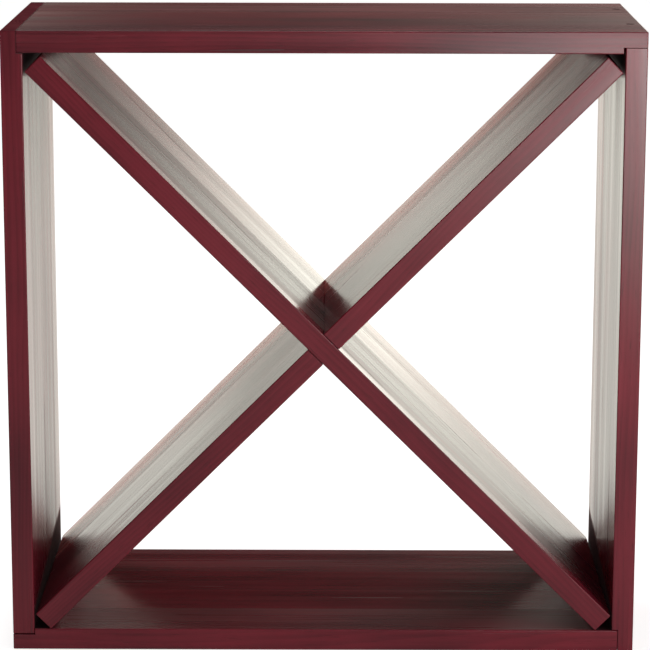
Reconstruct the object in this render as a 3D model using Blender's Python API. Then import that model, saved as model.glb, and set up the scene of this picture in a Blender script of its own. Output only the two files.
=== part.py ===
"""Open cube wine rack with an X divider, in metres, +Z up, front facing -Y.

Four panels close on each other in a pinwheel of rabbeted corners, two boards halved
over each other make the X, and eight countersunk screws hold the corners.

Each panel is drawn as the top one: its square end at -X, the rabbeted end that laps
over the next panel at +X, its outer face up. The other three are the same board
turned about Y, seen from the front in the order top, right, bottom, left.
"""
import math

import bmesh
import bpy

# Boards
SIDE = 0.508              # outer width and height of the cube
DEPTH = 0.225             # front to back
BOARD = 0.0175            # thickness of every board
TONGUE = 0.0125           # what the rabbet leaves of a panel's lapping end
GAP = 0.0003              # between pieces that touch
SHOULDER = 0.0004         # from a rabbet's shoulder to the next panel's inner face
SHOULDER_LOOSE = 0.0016   # the same at the top right corner, which closes less tightly
LAP_LOOSE = 0.0010        # from the left panel's square end to its ledge, instead of GAP
DIVIDER_LENGTH = 0.6479   # each board of the X, with square-cut ends
EASE = 0.0008             # exposed arrises
EASE_STEPS = 2
EASE_JOINT = 0.0002       # arrises inside a joint

# Screws: depths run down from the panel's outer face
SCREW_FROM_FRONT = 0.0580
SCREW_FROM_BACK = 0.0500
SCREW_LENGTH = 0.0380
SCREW_SINK = 0.0004
HEAD_R = 0.0030
HEAD_H = 0.0019
HEAD_RIM = 0.0003
HEAD_SIDES = 24
SHANK_R = 0.0014
SHANK_SIDES = 12
THREAD_R = 0.0016
THREAD_CORE_R = 0.00105
THREAD_START = 0.0140
THREAD_TURNS = 10
THREAD_PITCH = 0.0020
THREAD_ROWS = (0.0, 1.0, 0.0)   # root, crest, root within one turn
RECESS_DEPTH = 0.0013
HOLE_R = THREAD_R + GAP
HOLE_SPARE = 0.0010       # below the screw's point
HOLE_SIDES = 24
OVERCUT = 0.0010          # how far a cutter stands out of the wood

HALF = SIDE / 2.0
HALF_DEPTH = DEPTH / 2.0
SCREW_Y = (("front", SCREW_FROM_FRONT - HALF_DEPTH), ("back", HALF_DEPTH - SCREW_FROM_BACK))
SCREW_X = HALF - BOARD / 2.0
TINY = 1e-6

WOOD_COLOUR = (0.135, 0.018, 0.022, 1.0)
SCREW_COLOUR = (0.060, 0.048, 0.042, 1.0)


def clear_scene():
    for obj in list(bpy.data.objects):
        bpy.data.objects.remove(obj, do_unlink=True)


def make_material(name, colour, roughness, metallic):
    material = bpy.data.materials.new(name)
    material.use_nodes = True
    shader = material.node_tree.nodes["Principled BSDF"]
    shader.inputs["Base Color"].default_value = colour
    shader.inputs["Roughness"].default_value = roughness
    shader.inputs["Metallic"].default_value = metallic
    return material


def add_object(name, mesh):
    obj = bpy.data.objects.new(name, mesh)
    bpy.context.scene.collection.objects.link(obj)
    return obj


def object_from(name, bm):
    bmesh.ops.recalc_face_normals(bm, faces=bm.faces)
    mesh = bpy.data.meshes.new(name)
    bm.to_mesh(mesh)
    bm.free()
    return add_object(name, mesh)


def finish_mesh(obj, material, smooth_below):
    obj.data.materials.clear()
    obj.data.materials.append(material)
    obj.data.shade_smooth()
    obj.data.set_sharp_from_angle(angle=math.radians(smooth_below))


def cut(obj, cutter):
    """Take the cutter out of obj with an exact Boolean, then drop the cutter."""
    cutter.hide_render = True
    cutter.display_type = "WIRE"
    modifier = obj.modifiers.new("cut", "BOOLEAN")
    modifier.operation = "DIFFERENCE"
    modifier.solver = "EXACT"
    modifier.object = cutter
    depsgraph = bpy.context.evaluated_depsgraph_get()
    mesh = bpy.data.meshes.new_from_object(obj.evaluated_get(depsgraph))
    obj.modifiers.clear()
    obj.data = mesh
    bpy.data.objects.remove(cutter, do_unlink=True)


# Rings and turned shapes

def circle(bm, radius, height, sides, x=0.0, y=0.0):
    if radius == 0.0:
        return [bm.verts.new((x, y, height))]
    ring = []
    for i in range(sides):
        angle = 2.0 * math.pi * i / sides
        ring.append(bm.verts.new((x + radius * math.cos(angle), y + radius * math.sin(angle), height)))
    return ring


def bridge(bm, ring, other):
    """Faces between two equal rings, a ring and a pole, or a ring and one of half its points."""
    small, large = sorted((ring, other), key=len)
    count = len(large)
    for i in range(count):
        j = (i + 1) % count
        if len(small) == 1:
            bm.faces.new((small[0], large[i], large[j]))
        elif len(small) == count:
            bm.faces.new((small[i], large[i], large[j], small[j]))
        elif i % 2 == 0:
            bm.faces.new((small[i // 2], large[i], large[j]))
        else:
            k = (i // 2 + 1) % len(small)
            bm.faces.new((small[i // 2], large[i], small[k]))
            bm.faces.new((small[k], large[i], large[j]))


def turned(bm, profile, sides, x=0.0, y=0.0):
    rings = [circle(bm, radius, height, sides, x, y) for radius, height in profile]
    for ring, following in zip(rings, rings[1:]):
        bridge(bm, ring, following)


# Boards

def prism(outline, low, high, place):
    """Closed prism over an outline, with place(a, b, level) giving each corner."""
    bm = bmesh.new()
    rings = []
    for level in (low, high):
        rings.append([bm.verts.new(place(a, b, level)) for a, b in outline])
    bridge(bm, rings[0], rings[1])
    bm.faces.new(rings[0])
    bm.faces.new(rings[1])
    bmesh.ops.recalc_face_normals(bm, faces=bm.faces)
    return bm


def ease(bm, in_joint):
    """Ease the outward arrises: the exposed ones rounded, those inside a joint only just."""
    for joint, width, steps in ((False, EASE, EASE_STEPS), (True, EASE_JOINT, 1)):
        edges = []
        for edge in bm.edges:
            sharp = edge.calc_face_angle_signed(0.0) > math.radians(60.0)
            if sharp and in_joint(edge) == joint:
                edges.append(edge)
        bmesh.ops.bevel(
            bm, geom=edges, offset=width, offset_type="OFFSET", segments=steps, profile=0.5, affect="EDGES"
        )


def along(edge, axis, value):
    return all(abs(vert.co[axis] - value) < TINY for vert in edge.verts)


def screw_holes():
    """Countersunk holes through the tongue, and pilot holes in the square end."""
    slope = (HEAD_R - SHANK_R) / HEAD_H
    mouth = HEAD_R + GAP
    seat = -SCREW_SINK - HEAD_RIM - GAP
    throat = seat - (mouth - HOLE_R) / slope
    countersunk = (
        (0.0, OVERCUT),
        (mouth, OVERCUT),
        (mouth, seat),
        (HOLE_R, throat),
        (HOLE_R, -TONGUE - OVERCUT),
        (0.0, -TONGUE - OVERCUT),
    )
    bottom = SCREW_SINK + SCREW_LENGTH + HOLE_SPARE
    pilot = (
        (0.0, OVERCUT - TONGUE),
        (HOLE_R, OVERCUT - TONGUE),
        (HOLE_R, -bottom),
        (0.0, -bottom - HOLE_R / 2.0),
    )
    holes = bmesh.new()
    for _, y in SCREW_Y:
        turned(holes, [(radius, HALF + height) for radius, height in countersunk], HOLE_SIDES, SCREW_X, y)
    for _, y in SCREW_Y:
        drilled = bmesh.new()
        turned(drilled, pilot, HOLE_SIDES)
        for vert in drilled.verts:
            across, down = vert.co.x, vert.co.z
            vert.co = (-HALF - down, vert.co.y + y, SCREW_X + across)
        mesh = bpy.data.meshes.new("pilot")
        drilled.to_mesh(mesh)
        drilled.free()
        holes.from_mesh(mesh)
        bpy.data.meshes.remove(mesh)
    return object_from("screw_holes", holes)


def make_panel(name, quarter, shoulder, lap, material):
    inner = HALF - BOARD
    step = HALF - BOARD - shoulder
    ledge = HALF - TONGUE
    square_end = -HALF + TONGUE + lap
    outline = (
        (square_end, inner),
        (step, inner),
        (step, ledge),
        (HALF, ledge),
        (HALF, HALF),
        (square_end, HALF),
    )
    bm = prism(outline, -HALF_DEPTH, HALF_DEPTH, lambda x, z, y: (x, y, z))
    ease(bm, lambda edge: along(edge, 0, square_end) or along(edge, 0, step) or along(edge, 2, ledge))
    panel = object_from(name, bm)
    cut(panel, screw_holes())
    finish_mesh(panel, material, 30.0)
    panel.location = (0.0, 0.0, HALF)
    panel.rotation_euler = (0.0, math.radians(90.0 * quarter), 0.0)
    return panel


def make_divider(name, slope, slot_side, material):
    """One board of the X; slot_side is -1 for a slot cut in from the front, +1 from the back."""
    half = DIVIDER_LENGTH / 2.0
    slot = BOARD / 2.0 + GAP
    mouth = slot_side * HALF_DEPTH
    floor = -slot_side * GAP / 2.0
    outline = (
        (-half, -mouth),
        (half, -mouth),
        (half, mouth),
        (slot, mouth),
        (slot, floor),
        (-slot, floor),
        (-slot, mouth),
        (-half, mouth),
    )
    bm = prism(outline, -BOARD / 2.0, BOARD / 2.0, lambda x, y, z: (x, y, z))
    ease(bm, lambda edge: all(abs(vert.co.x) < slot + TINY for vert in edge.verts))
    divider = object_from(name, bm)
    finish_mesh(divider, material, 30.0)
    reach = (half + BOARD / 2.0) * math.sin(abs(slope)) - EASE * (math.sqrt(2.0) - 1.0)
    divider.location = (0.0, 0.0, BOARD + GAP + reach)
    divider.rotation_euler = (0.0, -slope, 0.0)
    return divider


# Screws

def cut_thread(bm, shank, point):
    """A thread of one start, from the shank's last ring down to the point.

    Row k of the skin climbs once round the screw by one pitch, so its end meets the
    start of the row one turn further on.
    """
    step = len(THREAD_ROWS)
    last = THREAD_TURNS * step
    end = SHANK_SIDES - 1
    rows = []
    for k in range(last + 1):
        row = []
        for i in range(SHANK_SIDES):
            turns = k / step + i / SHANK_SIDES
            left = THREAD_TURNS + 1.0 - turns
            core = THREAD_CORE_R * min(1.0, 0.2 + left / 3.0)
            crest = THREAD_ROWS[k % step] * min(1.0, turns, left / 3.0)
            radius = core + crest * (THREAD_R - THREAD_CORE_R)
            angle = 2.0 * math.pi * i / SHANK_SIDES
            depth = THREAD_START + turns * THREAD_PITCH
            row.append(bm.verts.new((radius * math.cos(angle), radius * math.sin(angle), -depth)))
        rows.append(row)
    for k in range(last):
        for i in range(end):
            bm.faces.new((rows[k][i], rows[k + 1][i], rows[k + 1][i + 1], rows[k][i + 1]))
        if k + step < last:
            bm.faces.new((rows[k][end], rows[k + 1][end], rows[k + step + 1][0], rows[k + step][0]))
    for i in range(end):
        bm.faces.new((shank[i], rows[0][i], rows[0][i + 1], shank[i + 1]))
        bm.faces.new((point, rows[last][i + 1], rows[last][i]))
    bm.faces.new((shank[end], rows[0][end], rows[step][0], shank[0]))
    bm.faces.new((point, rows[last][0], rows[last - step][end]))
    for k in range(step):
        bm.faces.new((shank[0], rows[k + 1][0], rows[k][0]))
    for k in range(last - step, last):
        bm.faces.new((point, rows[k][end], rows[k + 1][end]))


def cross_recess():
    """Tapered cross for the driver."""
    bm = bmesh.new()
    rings = []
    top = OVERCUT - SCREW_SINK
    bottom = -RECESS_DEPTH - SCREW_SINK
    for height, arm, web in ((top, HEAD_R * 0.62, HEAD_R * 0.13), (bottom, HEAD_R * 0.25, HEAD_R * 0.09)):
        ring = []
        for quarter in range(4):
            angle = math.radians(90.0 * quarter)
            for x, y in ((arm, -web), (arm, web), (web, web)):
                across = x * math.cos(angle) - y * math.sin(angle)
                up = x * math.sin(angle) + y * math.cos(angle)
                ring.append(bm.verts.new((across, up, height)))
        rings.append(ring)
    bridge(bm, rings[0], rings[1])
    bm.faces.new(rings[0])
    bm.faces.new(rings[1])
    return object_from("cross_recess", bm)


def screw_mesh(material):
    """Countersunk wood screw, its axis along Z and its head just below Z = 0."""
    top = -SCREW_SINK
    bm = bmesh.new()
    rings = [
        circle(bm, 0.0, top, HEAD_SIDES),
        circle(bm, HEAD_R - HEAD_RIM / 2.0, top, HEAD_SIDES),
        circle(bm, HEAD_R, top - HEAD_RIM / 2.0, HEAD_SIDES),
        circle(bm, HEAD_R, top - HEAD_RIM, HEAD_SIDES),
        circle(bm, SHANK_R * 1.1, top - HEAD_H, HEAD_SIDES),
        circle(bm, SHANK_R, top - HEAD_H - HEAD_RIM, SHANK_SIDES),
        circle(bm, SHANK_R, -THREAD_START + THREAD_PITCH / 2.0, SHANK_SIDES),
    ]
    for ring, following in zip(rings, rings[1:]):
        bridge(bm, ring, following)
    point = bm.verts.new((0.0, 0.0, top - SCREW_LENGTH))
    cut_thread(bm, rings[-1], point)
    screw = object_from("screw", bm)
    cut(screw, cross_recess())
    finish_mesh(screw, material, 40.0)
    mesh = screw.data
    bpy.data.objects.remove(screw, do_unlink=True)
    return mesh


def main():
    clear_scene()
    wood = make_material("stained_wood", WOOD_COLOUR, 0.35, 0.0)
    steel = make_material("dark_screw_steel", SCREW_COLOUR, 0.45, 0.9)
    screw = screw_mesh(steel)
    for quarter, place in enumerate(("top", "right", "bottom", "left")):
        shoulder = SHOULDER_LOOSE if place == "top" else SHOULDER
        lap = LAP_LOOSE if place == "left" else GAP
        panel = make_panel("panel_" + place, quarter, shoulder, lap, wood)
        for spot, y in SCREW_Y:
            obj = add_object("screw_" + place + "_" + spot, screw)
            obj.parent = panel
            obj.location = (SCREW_X, y, HALF)
    make_divider("divider_falling", math.radians(-45.0), 1.0, wood)
    make_divider("divider_rising", math.radians(45.0), -1.0, wood)


main()
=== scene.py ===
"""Looks of the open cube wine rack: cherry-stained boards under a satin lacquer.

Every board is built again around its CAD node with a finer skin, and the screws keep their
CAD meshes. A board's own frame has its grain along X, its width along Y and its thickness
along Z, so that one solid-wood material runs true over its faces, edges and ends.
"""

import math

import bmesh
import bpy
from mathutils import Matrix, Vector


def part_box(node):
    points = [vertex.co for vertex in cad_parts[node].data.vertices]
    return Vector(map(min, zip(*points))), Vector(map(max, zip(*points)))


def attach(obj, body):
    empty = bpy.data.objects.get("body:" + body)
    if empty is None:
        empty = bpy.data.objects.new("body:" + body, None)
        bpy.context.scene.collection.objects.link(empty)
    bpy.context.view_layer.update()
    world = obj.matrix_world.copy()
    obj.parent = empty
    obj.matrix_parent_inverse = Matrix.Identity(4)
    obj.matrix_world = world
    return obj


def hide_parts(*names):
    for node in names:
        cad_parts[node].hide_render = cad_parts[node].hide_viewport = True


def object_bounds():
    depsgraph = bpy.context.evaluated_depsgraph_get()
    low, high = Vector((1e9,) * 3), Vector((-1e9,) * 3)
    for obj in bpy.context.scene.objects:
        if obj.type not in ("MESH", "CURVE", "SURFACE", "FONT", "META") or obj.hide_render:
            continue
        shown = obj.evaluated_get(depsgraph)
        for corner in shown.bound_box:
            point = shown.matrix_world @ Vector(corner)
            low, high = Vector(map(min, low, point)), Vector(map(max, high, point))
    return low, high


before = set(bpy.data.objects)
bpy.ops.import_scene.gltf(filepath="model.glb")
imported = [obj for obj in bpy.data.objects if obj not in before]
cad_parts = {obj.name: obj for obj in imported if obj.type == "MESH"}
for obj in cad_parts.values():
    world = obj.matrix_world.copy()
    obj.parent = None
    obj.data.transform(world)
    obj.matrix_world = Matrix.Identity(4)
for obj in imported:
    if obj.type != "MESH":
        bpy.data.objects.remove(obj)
cad_low, cad_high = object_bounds()

# Sizes that the CAD boxes give
CENTRE = (cad_low + cad_high) / 2.0
HALF = (cad_high.x - cad_low.x) / 2.0
HALF_DEPTH = (cad_high.y - cad_low.y) / 2.0
TOP_LOW, TOP_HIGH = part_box("panel_top")
BOARD = TOP_HIGH.z - TOP_LOW.z

PLACES = ("top", "right", "bottom", "left")
SPOTS = ("front", "back")
CROSSING = (("divider_falling", -45.0, 1.0), ("divider_rising", 45.0, -1.0))

# Sizes that the boxes don't give, the same as the CAD's
GAP = 0.0003
TONGUE = TOP_LOW.x + HALF - GAP
SHOULDER = 0.0004
SHOULDER_LOOSE = 0.0016
LAP_LOOSE = 0.0010
DIVIDER_LENGTH = 0.6479
SLOT_HALF = BOARD / 2.0 + GAP

# Arrises: rounded where they are exposed, and only broken inside a joint
ARRIS = 0.0009
ARRIS_STEPS = 4
ARRIS_JOINT = 0.0002

# Screws and their holes: heights run down from a panel's outer face
HEAD_R = 0.0030
HEAD_H = 0.0019
HEAD_RIM = 0.0003
HEAD_SINK = 0.0004
SHANK_R = 0.0014
SCREW_LENGTH = 0.0380
HOLE_R = 0.0019
OVERCUT = 0.0010
ROUND_SIDES = 48

# Degrees: an edge that is sharper is an arris, a face that turns less is shaded smooth
ARRIS_ANGLE = 60.0
SMOOTH_ANGLE = 35.0

# Camera
LENS = 153.73
SENSOR = 36.0
CAMERA_PLACE = (0.01215, -2.28159, 0.74591)
CAMERA_PITCH = -0.21465
CAMERA_YAW = 0.00501
CAMERA_ROLL = 0.00175

# Grain: sizes are metres, a noise's scale is per metre along X, Y and Z, and a pair after a
# noise or a mask gives its values where the feature begins and where it is full
STAVE = 0.052
STAVE_START = 0.37
STAVE_LABEL = 7.31
BOARD_LABEL = 13.7
STAVE_SHIFT = (4.0, 0.06, 0.05)
STAVE_SEAM = 0.008
RING = 0.0030
RING_DARKENS = (0.15, 0.85)
RING_ENDS = (1.0, 0.90)
SWAY = ((2.2, 14.0, 14.0), 0.030)
PITH = (0.0, 0.01, 0.055)
END_SWAY = ((9.0, 35.0, 35.0), 0.006)
END_PITH = (0.01, 0.043)
FIBRE = (6.0, 420.0, 420.0)
STREAK = (1.8, 48.0, 48.0)
PORE = (70.0, 1700.0, 1700.0)
PORE_FROM = (0.64, 0.74)
FLECK = (5.0, 170.0, 170.0)
FLECK_FROM = (0.70, 0.76)
BLOTCH = (8.0, 22.0, 22.0)
VESSEL = (1500.0, 1500.0, 1500.0)
PATCH = (60.0, 60.0, 60.0)

# Arrises: the bend is the cosine between the true and the rounded normal
WEAR = 0.0012
WEAR_SAMPLES = 6
BEND_FROM = (0.985, 0.86)
WORN_FROM = (0.58, 0.70)

# Stain, with painted light from behind towards the back edges and painted shade in the inside corners
SHADE = {
    "top": -0.06,
    "right": -0.05,
    "bottom": 0.07,
    "left": 0.05,
    "divider_falling": -0.12,
    "divider_rising": -0.01,
}
# Painted light from behind: per board, the share of a lighter colour towards the back edge and how far from
# it that starts; then where it ends, how it wavers, and which faces it leaves out
PAINTED_BACK_LIGHT = {"divider_rising": (1.00, 0.080), "divider_falling": (0.25, 0.080), "top": (0.25, 0.190)}
BACK_LIGHT_END = 0.015
BACK_LIGHT_WAVER = 0.10
BACK_FACING = 0.5
# Painted shade in the inside corners of the square: how far from a corner it reaches, how it widens towards
# the back, and its soft edge
CORNER_SHADE_WIDTH = 0.014
CORNER_SHADE_SPREAD = 0.11
CORNER_SHADE_EDGE = (-0.006, 0.003)
STAIN_DARK = (0.100, 0.006, 0.016, 1.0)
STAIN_LIGHT = (0.370, 0.024, 0.048, 1.0)
STAIN_PORE = (0.030, 0.005, 0.008, 1.0)
STAIN_WORN = (0.480, 0.130, 0.130, 1.0)
# The colour of the painted light from behind
BACK_LIGHT_COLOUR = (0.760, 0.210, 0.190, 1.0)
END_DARK = (0.110, 0.018, 0.026, 1.0)
END_LIGHT = (0.340, 0.085, 0.100, 1.0)

# Shares of the grain in the stain's tone, in the dark stain, in the gloss and in the relief
TONE_FIBRE, TONE_STREAK, TONE_STAVE, TONE_BLOTCH, TONE_LATE = 0.40, 0.70, 0.45, 1.00, -0.14
# The last share is painted shade in the inside corners
DARK_PORE, DARK_FLECK, DARK_SEAM, DARK_BEND, DARK_CORNER_SHADE = 0.35, 0.50, 0.25, 0.50, 0.85
GLOSS_FIBRE, GLOSS_STREAK, GLOSS_STAVE, GLOSS_FLECK = 0.08, 0.24, -0.12, 0.20
HIGH_FIBRE, HIGH_STREAK, HIGH_PORE, HIGH_LATE = 0.12, 1.2, -0.02, 0.05
END_TONE_VESSEL, END_TONE_PATCH, END_TONE_LATE = 0.8, 0.9, -0.25
WORN_SHARE = 0.45

# Surfaces
MIDDLE_TONES = (0.3, 0.7)
RELIEF = 0.00003
LACQUER_ROUGHNESS = 0.23
LACQUER_IOR = 1.5
# The next roughness is for the inside corners that have painted shade
CORNER_SHADE_ROUGHNESS = 0.9
END_ROUGHNESS = (0.62, 0.82)
END_SPECULAR = 0.0
END_FACING = 0.8
GRIME = (900.0, 900.0, 900.0)
SCUFF = (3500.0, 3500.0, 600.0)
SCUFF_FROM = (0.55, 0.75)
SCUFF_SHARE = 0.5
STEEL_DARK = (0.022, 0.018, 0.016, 1.0)
STEEL_LIGHT = (0.085, 0.070, 0.060, 1.0)
STEEL_SCUFFED = (0.300, 0.280, 0.260, 1.0)
STEEL_RELIEF = 0.00002
STEEL_ROUGHNESS = (0.36, 0.58)
STEEL_METALLIC = 0.85

# Floor: each glow is followed by where it begins and where it is full, in metres from the
# rack's centre; the patch has its middle, and how far from it the glow begins and is full
FLOOR_RADIUS = 30.0
FLOOR_SIDES = 96
FLOOR_BELOW = GAP / 3.0
FLOOR_COLOUR = (0.8, 0.8, 0.8, 1.0)
FLOOR_ROUGHNESS = 0.9
FLOOR_FRONT = 0.12
FLOOR_BEHIND = 0.85
BEHIND_Y = (-0.2, 0.6)
FLOOR_MIDDLE = 0.38
MIDDLE_Y = (0.8, 2.6)
MIDDLE_END = (4.8, 3.6)
MIDDLE_X = (0.25, -0.25)
FLOOR_FADE = -0.55
FADE_Y = (4.5, 6.5)
FLOOR_FAR = 2.60
FAR_Y = (5.0, 10.0)
FAR_X = (-1.5, 1.5)
FLOOR_PATCH = 4.40
PATCH_X = (0.82, 0.50, 0.25)
PATCH_Y = (-2.40, 1.00, 0.60)

# What the camera sees of the floor: a little less near the rack, so that its shadow shows
FLOOR_SEEN = 0.93
FLOOR_SEEN_NEAR = -0.24
NEAR_Y = (0.12, -0.02)
NEAR_X = (-0.30, -0.20)
NEAR_REACH = (1.60, 0.50)

# Lights: a softbox has its azimuth, elevation, distance, width, height and radiance, and a
# glow of the room its azimuth, elevation, width, height (all in degrees) and radiance
SOFTBOXES = (
    ("low_front", 12.0, 1.0, 3.00, 0.6, 0.55, 8.0),
    ("near_right", 60.0, 14.0, 1.45, 1.1, 1.10, 1.7),
    ("high_back", 180.0, 50.0, 2.80, 1.5, 1.50, 1.3),
    ("overhead", 0.0, 90.0, 2.75, 2.0, 2.00, 1.3),
)
GLOWS = (
    (-44.0, 5.0, 15.0, 3.0, 12.0),
    (-14.0, 4.2, 5.0, 3.0, 2.7),
    (16.5, 0.5, 9.6, 3.0, 3.5),
    (16.5, 32.0, 9.6, 8.0, 3.7),
    (42.0, 4.5, 19.0, 4.0, 5.8),
    (42.0, 13.0, 19.0, 5.0, 0.9),
)
GLOW_COLOUR = (1.0, 0.99, 0.88, 1.0)
ROOM_DIM = 0.02
ROOM_SEEN = 1.00
WHITE = (1.0, 1.0, 1.0, 1.0)

TINY = 1e-6


# Meshes

def object_from(name, bm):
    bmesh.ops.recalc_face_normals(bm, faces=bm.faces)
    mesh = bpy.data.meshes.new(name)
    bm.to_mesh(mesh)
    bm.free()
    obj = bpy.data.objects.new(name, mesh)
    bpy.context.scene.collection.objects.link(obj)
    return obj


def smooth(obj):
    """Smooth shading that leaves the flat faces flat."""
    obj.data.shade_smooth()
    obj.data.set_sharp_from_angle(angle=math.radians(SMOOTH_ANGLE))
    modifier = obj.modifiers.new("flat_faces", "WEIGHTED_NORMAL")
    modifier.keep_sharp = True
    modifier.weight = 100


def cut(obj, cutter):
    modifier = obj.modifiers.new("cut", "BOOLEAN")
    modifier.operation = "DIFFERENCE"
    modifier.solver = "EXACT"
    modifier.object = cutter
    depsgraph = bpy.context.evaluated_depsgraph_get()
    mesh = bpy.data.meshes.new_from_object(obj.evaluated_get(depsgraph))
    obj.modifiers.clear()
    obj.data = mesh
    bpy.data.objects.remove(cutter, do_unlink=True)


def skin(bm, rings):
    """Faces from ring to ring; a ring of one point closes the skin."""
    for ring, following in zip(rings, rings[1:]):
        count = max(len(ring), len(following))
        for i in range(count):
            j = (i + 1) % count
            if len(ring) == 1:
                bm.faces.new((ring[0], following[i], following[j]))
            elif len(following) == 1:
                bm.faces.new((ring[i], following[0], ring[j]))
            else:
                bm.faces.new((ring[i], following[i], following[j], ring[j]))


def turned(bm, profile, turn):
    """Turned shape over (radius, height) pairs, its axis along Z before the turn."""
    rings = []
    for radius, height in profile:
        ring = []
        for i in range(ROUND_SIDES if radius > 0.0 else 1):
            angle = 2.0 * math.pi * i / ROUND_SIDES
            spot = Vector((radius * math.cos(angle), radius * math.sin(angle), height))
            ring.append(bm.verts.new(turn @ spot))
        rings.append(ring)
    skin(bm, rings)


# Boards

def prism(outline, low, high, place):
    bm = bmesh.new()
    rings = [[bm.verts.new(place(a, b, level)) for a, b in outline] for level in (low, high)]
    skin(bm, rings)
    bm.faces.new(rings[0])
    bm.faces.new(rings[1])
    bmesh.ops.recalc_face_normals(bm, faces=bm.faces)
    return bm


def ease(bm, in_joint):
    """Round the exposed arrises, and only break those inside a joint."""
    for joint, width, steps in ((False, ARRIS, ARRIS_STEPS), (True, ARRIS_JOINT, 1)):
        edges = []
        for edge in bm.edges:
            sharp = edge.calc_face_angle_signed(0.0) > math.radians(ARRIS_ANGLE)
            if sharp and in_joint(edge) == joint:
                edges.append(edge)
        bmesh.ops.bevel(
            bm, geom=edges, offset=width, offset_type="OFFSET", segments=steps, profile=0.5, affect="EDGES"
        )


def along(edge, axis, value):
    return all(abs(vert.co[axis] - value) < TINY for vert in edge.verts)


def screw_holes(screw_y, outer):
    """Countersunk holes through the tongue, and pilot holes in the square end."""
    mouth = HEAD_R + GAP
    seat = -HEAD_SINK - HEAD_RIM - GAP
    throat = seat - (mouth - HOLE_R) * HEAD_H / (HEAD_R - SHANK_R)
    countersunk = (
        (0.0, OVERCUT),
        (mouth, OVERCUT),
        (mouth, seat),
        (HOLE_R, throat),
        (HOLE_R, -TONGUE - OVERCUT),
        (0.0, -TONGUE - OVERCUT),
    )
    bottom = -HEAD_SINK - SCREW_LENGTH - OVERCUT
    pilot = (
        (0.0, OVERCUT - TONGUE),
        (HOLE_R, OVERCUT - TONGUE),
        (HOLE_R, bottom),
        (0.0, bottom - HOLE_R / 2.0),
    )
    bm = bmesh.new()
    for y in screw_y:
        turned(bm, countersunk, Matrix.Translation((HALF - BOARD / 2.0, y, outer)))
        lying = Matrix.Rotation(math.radians(-90.0), 4, "Y")
        turned(bm, pilot, Matrix.Translation((-HALF, y, outer - BOARD / 2.0)) @ lying)
    return object_from("screw_holes", bm)


def panel(place, quarter, shoulder, lap, screw_y):
    """A panel of the square in its own frame, its outer face up at half its thickness."""
    outer = BOARD / 2.0
    square_end = -HALF + TONGUE + lap
    step = HALF - BOARD - shoulder
    ledge = outer - TONGUE
    outline = (
        (square_end, -outer),
        (step, -outer),
        (step, ledge),
        (HALF, ledge),
        (HALF, outer),
        (square_end, outer),
    )
    bm = prism(outline, -HALF_DEPTH, HALF_DEPTH, lambda x, z, y: (x, y, z))
    ease(bm, lambda edge: along(edge, 0, square_end) or along(edge, 0, step) or along(edge, 2, ledge))
    obj = object_from("board_" + place, bm)
    cut(obj, screw_holes(screw_y, outer))
    smooth(obj)
    turn = Matrix.Rotation(math.radians(90.0 * quarter), 4, "Y")
    obj.matrix_world = Matrix.Translation(CENTRE) @ turn @ Matrix.Translation((0.0, 0.0, HALF - outer))
    return obj


def divider(node, angle, slot_side):
    """A board of the X; slot_side is -1 for a slot cut in from the front, +1 from the back."""
    half = DIVIDER_LENGTH / 2.0
    mouth = slot_side * HALF_DEPTH
    bottom = -slot_side * GAP / 2.0
    outline = (
        (-half, -mouth),
        (half, -mouth),
        (half, mouth),
        (SLOT_HALF, mouth),
        (SLOT_HALF, bottom),
        (-SLOT_HALF, bottom),
        (-SLOT_HALF, mouth),
        (-half, mouth),
    )
    bm = prism(outline, -BOARD / 2.0, BOARD / 2.0, lambda x, y, z: (x, y, z))
    ease(bm, lambda edge: all(abs(vert.co.x) < SLOT_HALF + TINY for vert in edge.verts))
    obj = object_from(node.replace("divider", "board"), bm)
    smooth(obj)
    low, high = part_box(node)
    turn = Matrix.Rotation(math.radians(-angle), 4, "Y")
    obj.matrix_world = Matrix.Translation((low + high) / 2.0) @ turn
    return obj


# Materials

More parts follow.
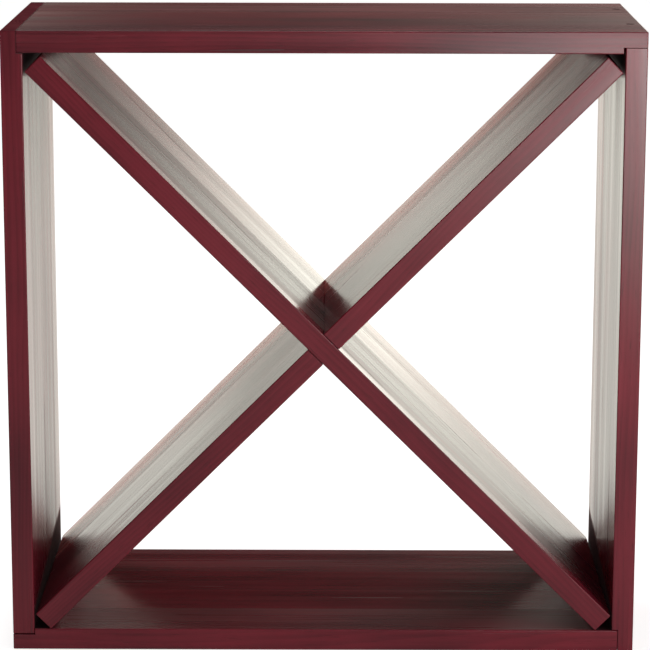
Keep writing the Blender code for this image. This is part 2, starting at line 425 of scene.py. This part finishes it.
class Graph:
    """Adds shader nodes to one material or world and joins them."""

    def __init__(self, owner):
        owner.use_nodes = True
        self.tree = owner.node_tree
        self.tree.nodes.clear()

    def node(self, kind, inputs=(), **settings):
        node = self.tree.nodes.new(kind)
        for name, value in settings.items():
            setattr(node, name, value)
        for name, value in dict(inputs).items():
            if isinstance(value, bpy.types.NodeSocket):
                self.tree.links.new(value, node.inputs[name])
            else:
                node.inputs[name].default_value = value
        return node

    def maths(self, operation, *values, clamp=False):
        inputs = dict(enumerate(values))
        return self.node("ShaderNodeMath", inputs, operation=operation, use_clamp=clamp).outputs[0]

    def vector(self, operation, *values, output=0):
        inputs = dict(enumerate(values))
        return self.node("ShaderNodeVectorMath", inputs, operation=operation).outputs[output]

    def parts(self, vector):
        return self.node("ShaderNodeSeparateXYZ", {0: vector}).outputs

    def stretched(self, vector, scale, shift=(0.0, 0.0, 0.0)):
        inputs = {"Vector": vector, "Scale": scale, "Location": shift}
        return self.node("ShaderNodeMapping", inputs).outputs[0]

    def noise(self, vector, detail, roughness=0.5):
        inputs = {"Vector": vector, "Scale": 1.0, "Detail": detail, "Roughness": roughness}
        return self.node("ShaderNodeTexNoise", inputs).outputs

    def remap(self, value, low, high, to_low=0.0, to_high=1.0):
        inputs = {"Value": value, "From Min": low, "From Max": high, "To Min": to_low, "To Max": to_high}
        return self.node("ShaderNodeMapRange", inputs, interpolation_type="SMOOTHSTEP").outputs[0]

    def swing(self, base, value, share):
        """The base, moved by a share of how far the value is from one half."""
        return self.maths("MULTIPLY_ADD", self.maths("SUBTRACT", value, 0.5), share, base)

    def mix(self, factor, colour, other):
        inputs = {0: factor, 6: colour, 7: other}
        return self.node("ShaderNodeMix", inputs, data_type="RGBA").outputs[2]

    def tint(self, colour, mask, share, other):
        """The colour, with a share of the other one laid over it where the mask is 1."""
        return self.mix(self.maths("MULTIPLY", mask, share), colour, other)

    def blend(self, factor, value, other):
        inputs = {0: factor, 2: value, 3: other}
        return self.node("ShaderNodeMix", inputs, data_type="FLOAT").outputs[0]

    def relief(self, height, distance):
        inputs = {"Height": height, "Strength": 1.0, "Distance": distance}
        return self.node("ShaderNodeBump", inputs).outputs[0]

    def surface(self, inputs):
        shader = self.node("ShaderNodeBsdfPrincipled", inputs)
        self.node("ShaderNodeOutputMaterial", {"Surface": shader.outputs[0]})


def growth_rings(graph, place, sway, shift, pith):
    """Late wood of wavering rings round a pith beside or below the board, from 0 to 1."""
    scale, reach = sway
    waver = graph.noise(graph.stretched(place, scale, shift), detail=2.0)["Color"]
    waver = graph.vector("SUBTRACT", waver, (0.5, 0.5, 0.5))
    waver = graph.vector("MULTIPLY", waver, (0.0, reach, reach))
    ringed = graph.stretched(graph.vector("ADD", place, waver), (0.0, 1.0, 1.0), pith)
    radius = graph.vector("LENGTH", ringed, output="Value")
    ring = graph.maths("FRACT", graph.maths("DIVIDE", radius, RING))
    return graph.maths("MULTIPLY", graph.remap(ring, *RING_DARKENS), graph.remap(ring, *RING_ENDS))


def stained_wood(name, seed, shade, back_light, back_light_from, corner_shade_from):
    """Solid wood of edge-glued staves, its grain along the object's X, stained dark cherry.

    The shade lightens or darkens the whole board. The next two arguments give the share of
    painted light from behind, a lighter colour towards the back edge, and how far from that edge
    it starts. Beyond the last argument along the grain, the face on the -Z side has painted
    shade, a dark colour, and is matte.
    """
    material = bpy.data.materials.new(name)
    graph = Graph(material)
    coordinates = graph.node("ShaderNodeTexCoord").outputs
    place = coordinates["Object"]
    spot = graph.parts(place)

    # Staves across the width, each cut from its own part of a log
    across = graph.maths("ADD", graph.maths("DIVIDE", spot["Y"], STAVE), STAVE_START * seed)
    label = graph.maths("MULTIPLY", graph.maths("FLOOR", across), STAVE_LABEL)
    label = graph.maths("ADD", label, BOARD_LABEL * seed)
    lot = graph.node("ShaderNodeTexWhiteNoise", {"W": label}, noise_dimensions="1D").outputs
    grown = graph.vector("ADD", place, graph.vector("MULTIPLY", lot["Color"], STAVE_SHIFT))
    edge = graph.maths("ABSOLUTE", graph.maths("SUBTRACT", graph.maths("FRACT", across), 0.5))
    seam = graph.remap(edge, 0.5 - STAVE_SEAM, 0.5)

    # Rings, fibres, streaks, pores and the unevenness of the stain
    late = growth_rings(graph, grown, SWAY, (0.0, 0.0, 0.0), PITH)
    fibre = graph.noise(graph.stretched(grown, FIBRE), detail=3.0, roughness=0.55)["Fac"]
    streak = graph.noise(graph.stretched(grown, STREAK), detail=2.0)["Fac"]
    pore = graph.remap(graph.noise(graph.stretched(grown, PORE), detail=1.0)["Fac"], *PORE_FROM)
    fleck = graph.remap(graph.noise(graph.stretched(grown, FLECK), detail=1.0)["Fac"], *FLECK_FROM)
    blotch = graph.noise(graph.stretched(place, BLOTCH, (seed, 2.0 * seed, 0.0)), detail=2.0)["Fac"]

    # Stain pools on the arrises, and handling has thinned it in places
    normal = graph.node("ShaderNodeNewGeometry").outputs["Normal"]
    rounded = graph.node("ShaderNodeBevel", {"Radius": WEAR}, samples=WEAR_SAMPLES).outputs[0]
    bend = graph.remap(graph.vector("DOT_PRODUCT", rounded, normal, output="Value"), *BEND_FROM)
    worn = graph.maths("MULTIPLY", bend, graph.remap(blotch, *WORN_FROM))

    # Painted light from behind: a lighter colour towards the back edge, but not on it
    back = graph.swing(spot["Y"], blotch, BACK_LIGHT_WAVER)
    back = graph.remap(back, HALF_DEPTH - back_light_from, HALF_DEPTH - BACK_LIGHT_END)
    facing = graph.parts(coordinates["Normal"])["Y"]
    back = graph.maths("MULTIPLY", back, graph.maths("LESS_THAN", facing, BACK_FACING))

    # Painted shade in the inside corners of the square: darker and matte, widening towards the back
    reach = graph.maths("MULTIPLY_ADD", graph.maths("ADD", spot["Y"], HALF_DEPTH), CORNER_SHADE_SPREAD, -corner_shade_from)
    reach = graph.maths("ADD", graph.maths("ABSOLUTE", spot["X"]), reach)
    inner = graph.maths("LESS_THAN", spot["Z"], TINY - BOARD / 2.0)
    corner_shade = graph.maths("MULTIPLY", graph.remap(reach, *CORNER_SHADE_EDGE), inner)

    tone = 0.5 + shade
    gloss = LACQUER_ROUGHNESS
    for value, to_tone, to_gloss in (
        (fibre, TONE_FIBRE, GLOSS_FIBRE),
        (streak, TONE_STREAK, GLOSS_STREAK),
        (lot["Value"], TONE_STAVE, GLOSS_STAVE),
    ):
        tone = graph.swing(tone, value, to_tone)
        gloss = graph.swing(gloss, value, to_gloss)
    tone = graph.swing(tone, blotch, TONE_BLOTCH)
    tone = graph.maths("MULTIPLY_ADD", late, TONE_LATE, tone, clamp=True)
    colour = graph.mix(tone, STAIN_DARK, STAIN_LIGHT)
    # Painted light from behind, as a lighter colour towards the back edge
    colour = graph.tint(colour, back, back_light, BACK_LIGHT_COLOUR)
    for mask, share in ((pore, DARK_PORE), (fleck, DARK_FLECK), (seam, DARK_SEAM), (bend, DARK_BEND)):
        colour = graph.tint(colour, mask, share, STAIN_PORE)
    colour = graph.tint(colour, worn, WORN_SHARE, STAIN_WORN)
    # Painted shade in the inside corners, as a dark colour
    colour = graph.tint(colour, corner_shade, DARK_CORNER_SHADE, STAIN_PORE)
    gloss = graph.maths("MULTIPLY_ADD", fleck, GLOSS_FLECK, gloss)
    gloss = graph.blend(corner_shade, gloss, CORNER_SHADE_ROUGHNESS)

    height = graph.maths("MULTIPLY", fibre, HIGH_FIBRE)
    for value, share in ((streak, HIGH_STREAK), (pore, HIGH_PORE), (late, HIGH_LATE)):
        height = graph.maths("MULTIPLY_ADD", value, share, height)
    graph.surface(
        {
            "Base Color": colour,
            "Roughness": gloss,
            "Normal": graph.relief(height, RELIEF),
            "IOR": LACQUER_IOR,
        }
    )
    return material


def end_grain(name, seed):
    """Sawn ends: rings seen end-on under stain that has soaked in, with next to no lacquer."""
    material = bpy.data.materials.new(name)
    graph = Graph(material)
    place = graph.node("ShaderNodeTexCoord").outputs["Object"]
    aside, below = END_PITH
    late = growth_rings(graph, place, END_SWAY, (seed, 0.0, 0.0), (0.0, aside * seed, below))
    vessel = graph.noise(graph.stretched(place, VESSEL), detail=2.0, roughness=0.6)["Fac"]
    patch = graph.noise(graph.stretched(place, PATCH), detail=3.0, roughness=0.6)["Fac"]
    tone = graph.swing(graph.swing(0.5, vessel, END_TONE_VESSEL), patch, END_TONE_PATCH)
    tone = graph.maths("MULTIPLY_ADD", late, END_TONE_LATE, tone, clamp=True)
    graph.surface(
        {
            "Base Color": graph.mix(tone, END_DARK, END_LIGHT),
            "Roughness": graph.remap(vessel, *MIDDLE_TONES, *END_ROUGHNESS),
            "Normal": graph.relief(vessel, RELIEF),
            "Specular IOR Level": END_SPECULAR,
        }
    )
    return material


def stain(board, name, seed):
    """Lacquered wood over a board's long faces and end grain over its sawn ends."""
    board.data.materials.clear()
    # Only the panels of the square get painted shade in their inside corners
    corner_shade_from = HALF - BOARD - CORNER_SHADE_WIDTH if name in PLACES else 2.0 * HALF
    # How much painted light from behind this board gets
    back_light, back_light_from = PAINTED_BACK_LIGHT.get(name, (0.0, DIVIDER_LENGTH))
    wood = stained_wood("stained_wood_" + name, seed, SHADE.get(name, 0.0), back_light, back_light_from, corner_shade_from)
    board.data.materials.append(wood)
    board.data.materials.append(end_grain("end_grain_" + name, seed))
    for polygon in board.data.polygons:
        polygon.material_index = 1 if abs(polygon.normal.x) > END_FACING else 0


def dark_steel(name):
    """Black-oxide screw steel, scuffed where the driver has turned in it."""
    material = bpy.data.materials.new(name)
    graph = Graph(material)
    place = graph.node("ShaderNodeTexCoord").outputs["Object"]
    grime = graph.noise(graph.stretched(place, GRIME), detail=4.0, roughness=0.6)["Fac"]
    scuff = graph.noise(graph.stretched(place, SCUFF), detail=2.0, roughness=0.6)["Fac"]
    scuff = graph.remap(scuff, *SCUFF_FROM)
    colour = graph.mix(grime, STEEL_DARK, STEEL_LIGHT)
    graph.surface(
        {
            "Base Color": graph.tint(colour, scuff, SCUFF_SHARE, STEEL_SCUFFED),
            "Roughness": graph.remap(grime, *MIDDLE_TONES, *STEEL_ROUGHNESS),
            "Normal": graph.relief(grime, STEEL_RELIEF),
            "Metallic": STEEL_METALLIC,
        }
    )
    return material


# Studio

def floor():
    """A pale floor, lit from above and bright enough behind the rack to read as white."""
    bpy.ops.mesh.primitive_circle_add(vertices=FLOOR_SIDES, radius=FLOOR_RADIUS, fill_type="NGON")
    obj = bpy.context.object
    obj.name = "floor"
    obj.location = (CENTRE.x, CENTRE.y, cad_low.z - FLOOR_BELOW)
    material = bpy.data.materials.new("floor")
    graph = Graph(material)
    place = graph.node("ShaderNodeTexCoord").outputs["Object"]
    spot = graph.parts(place)
    glow = graph.remap(spot["Y"], *BEHIND_Y, FLOOR_FRONT, FLOOR_BEHIND)
    far = graph.maths("MULTIPLY", graph.remap(spot["Y"], *FAR_Y), graph.remap(spot["X"], *FAR_X))
    glow = graph.maths("MULTIPLY_ADD", far, FLOOR_FAR, glow)
    middle = graph.maths("MULTIPLY", graph.remap(spot["Y"], *MIDDLE_Y), graph.remap(spot["Y"], *MIDDLE_END))
    middle = graph.maths("MULTIPLY", middle, graph.remap(spot["X"], *MIDDLE_X))
    glow = graph.maths("MULTIPLY_ADD", middle, FLOOR_MIDDLE, glow)
    glow = graph.maths("ADD", glow, graph.remap(spot["Y"], *FADE_Y, 0.0, FLOOR_FADE))
    (patch_x, *fade_x), (patch_y, *fade_y) = PATCH_X, PATCH_Y
    aside = graph.maths("ABSOLUTE", graph.maths("SUBTRACT", spot["X"], patch_x))
    ahead = graph.maths("ABSOLUTE", graph.maths("SUBTRACT", spot["Y"], patch_y))
    patch = graph.maths("MULTIPLY", graph.remap(aside, *fade_x), graph.remap(ahead, *fade_y))
    glow = graph.maths("MULTIPLY_ADD", patch, FLOOR_PATCH, glow)
    seen = graph.node("ShaderNodeLightPath").outputs["Is Camera Ray"]
    near = graph.maths("MULTIPLY", graph.remap(spot["Y"], *NEAR_Y), graph.remap(spot["X"], *NEAR_X))
    reach = graph.vector("LENGTH", place, output="Value")
    near = graph.maths("MULTIPLY", near, graph.remap(reach, *NEAR_REACH))
    pale = graph.maths("MULTIPLY_ADD", near, FLOOR_SEEN_NEAR, FLOOR_SEEN)
    glow = graph.blend(seen, glow, pale)
    graph.surface(
        {
            "Base Color": FLOOR_COLOUR,
            "Roughness": FLOOR_ROUGHNESS,
            "Specular IOR Level": 0.0,
            "Emission Color": graph.mix(seen, GLOW_COLOUR, WHITE),
            "Emission Strength": glow,
        }
    )
    obj.data.materials.append(material)


def softbox(name, azimuth, elevation, distance, width, height, radiance):
    """A rectangular light round the rack; azimuth 0 is in front and 90 to the right."""
    turn, lift = math.radians(azimuth), math.radians(elevation)
    way = Vector((math.sin(turn) * math.cos(lift), -math.cos(turn) * math.cos(lift), math.sin(lift)))
    light = bpy.data.lights.new(name, "AREA")
    light.shape = "RECTANGLE"
    light.size = width
    light.size_y = height
    light.energy = radiance * math.pi * width * height
    obj = bpy.data.objects.new(name, light)
    obj.location = CENTRE + way * distance
    obj.rotation_euler = way.to_track_quat("Z", "Y").to_euler()
    obj.visible_camera = False
    bpy.context.scene.collection.objects.link(obj)


def surroundings():
    """A dim room with soft glows behind the rack; the camera sees it pale.

    Each glow has an azimuth, where 0 is straight behind the rack and 90 to the right, an
    elevation, a width and a height, all in degrees, and the radiance at its middle.
    """
    world = bpy.data.worlds.new("room")
    bpy.context.scene.world = world
    graph = Graph(world)
    way = graph.parts(graph.node("ShaderNodeTexCoord").outputs["Generated"])
    turn = graph.maths("DEGREES", graph.maths("ARCTAN2", way["X"], way["Y"]))
    lift = graph.maths("DEGREES", graph.maths("ARCSINE", way["Z"]))
    light = ROOM_DIM
    for azimuth, elevation, width, height, radiance in GLOWS:
        aside = graph.maths("DIVIDE", graph.maths("SUBTRACT", turn, azimuth), width)
        above = graph.maths("DIVIDE", graph.maths("SUBTRACT", lift, elevation), height)
        spread = graph.maths("MULTIPLY_ADD", above, above, graph.maths("MULTIPLY", aside, aside))
        fall = graph.maths("EXPONENT", graph.maths("MULTIPLY", spread, -1.0))
        light = graph.maths("MULTIPLY_ADD", fall, radiance, light)
    seen = graph.node("ShaderNodeLightPath").outputs["Is Camera Ray"]
    light = graph.blend(seen, light, ROOM_SEEN)
    colour = graph.mix(seen, GLOW_COLOUR, WHITE)
    shader = graph.node("ShaderNodeBackground", {"Color": colour, "Strength": light})
    graph.node("ShaderNodeOutputWorld", {"Surface": shader.outputs[0]})


def camera():
    data = bpy.data.cameras.new("camera")
    data.sensor_width = SENSOR
    data.lens = LENS
    obj = bpy.data.objects.new("camera", data)
    aim = Matrix.Rotation(CAMERA_YAW, 4, "Z") @ Matrix.Rotation(math.pi / 2.0 + CAMERA_PITCH, 4, "X")
    obj.matrix_world = Matrix.Translation(CAMERA_PLACE) @ aim @ Matrix.Rotation(CAMERA_ROLL, 4, "Z")
    bpy.context.scene.collection.objects.link(obj)
    bpy.context.scene.camera = obj


# The rack

def read_screw_y(place):
    boxes = [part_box(f"screw_{place}_{spot}") for spot in SPOTS]
    return [(low.y + high.y) / 2.0 for low, high in boxes]


steel = dark_steel("dark_screw_steel")
for quarter, place in enumerate(PLACES):
    shoulder = SHOULDER_LOOSE if place == "top" else SHOULDER
    lap = LAP_LOOSE if place == "left" else GAP
    board = panel(place, quarter, shoulder, lap, read_screw_y(place))
    stain(board, place, quarter + 1.0)
    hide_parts("panel_" + place)
    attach(board, "root")
    for spot in SPOTS:
        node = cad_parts[f"screw_{place}_{spot}"]
        node.data.materials.clear()
        node.data.materials.append(steel)
for order, (node, angle, slot_side) in enumerate(CROSSING):
    board = divider(node, angle, slot_side)
    stain(board, node, len(PLACES) + order + 1.0)
    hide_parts(node)
    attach(board, "root")

floor()
surroundings()
for light in SOFTBOXES:
    softbox(*light)
camera()
bpy.context.scene.view_settings.view_transform = "Standard"
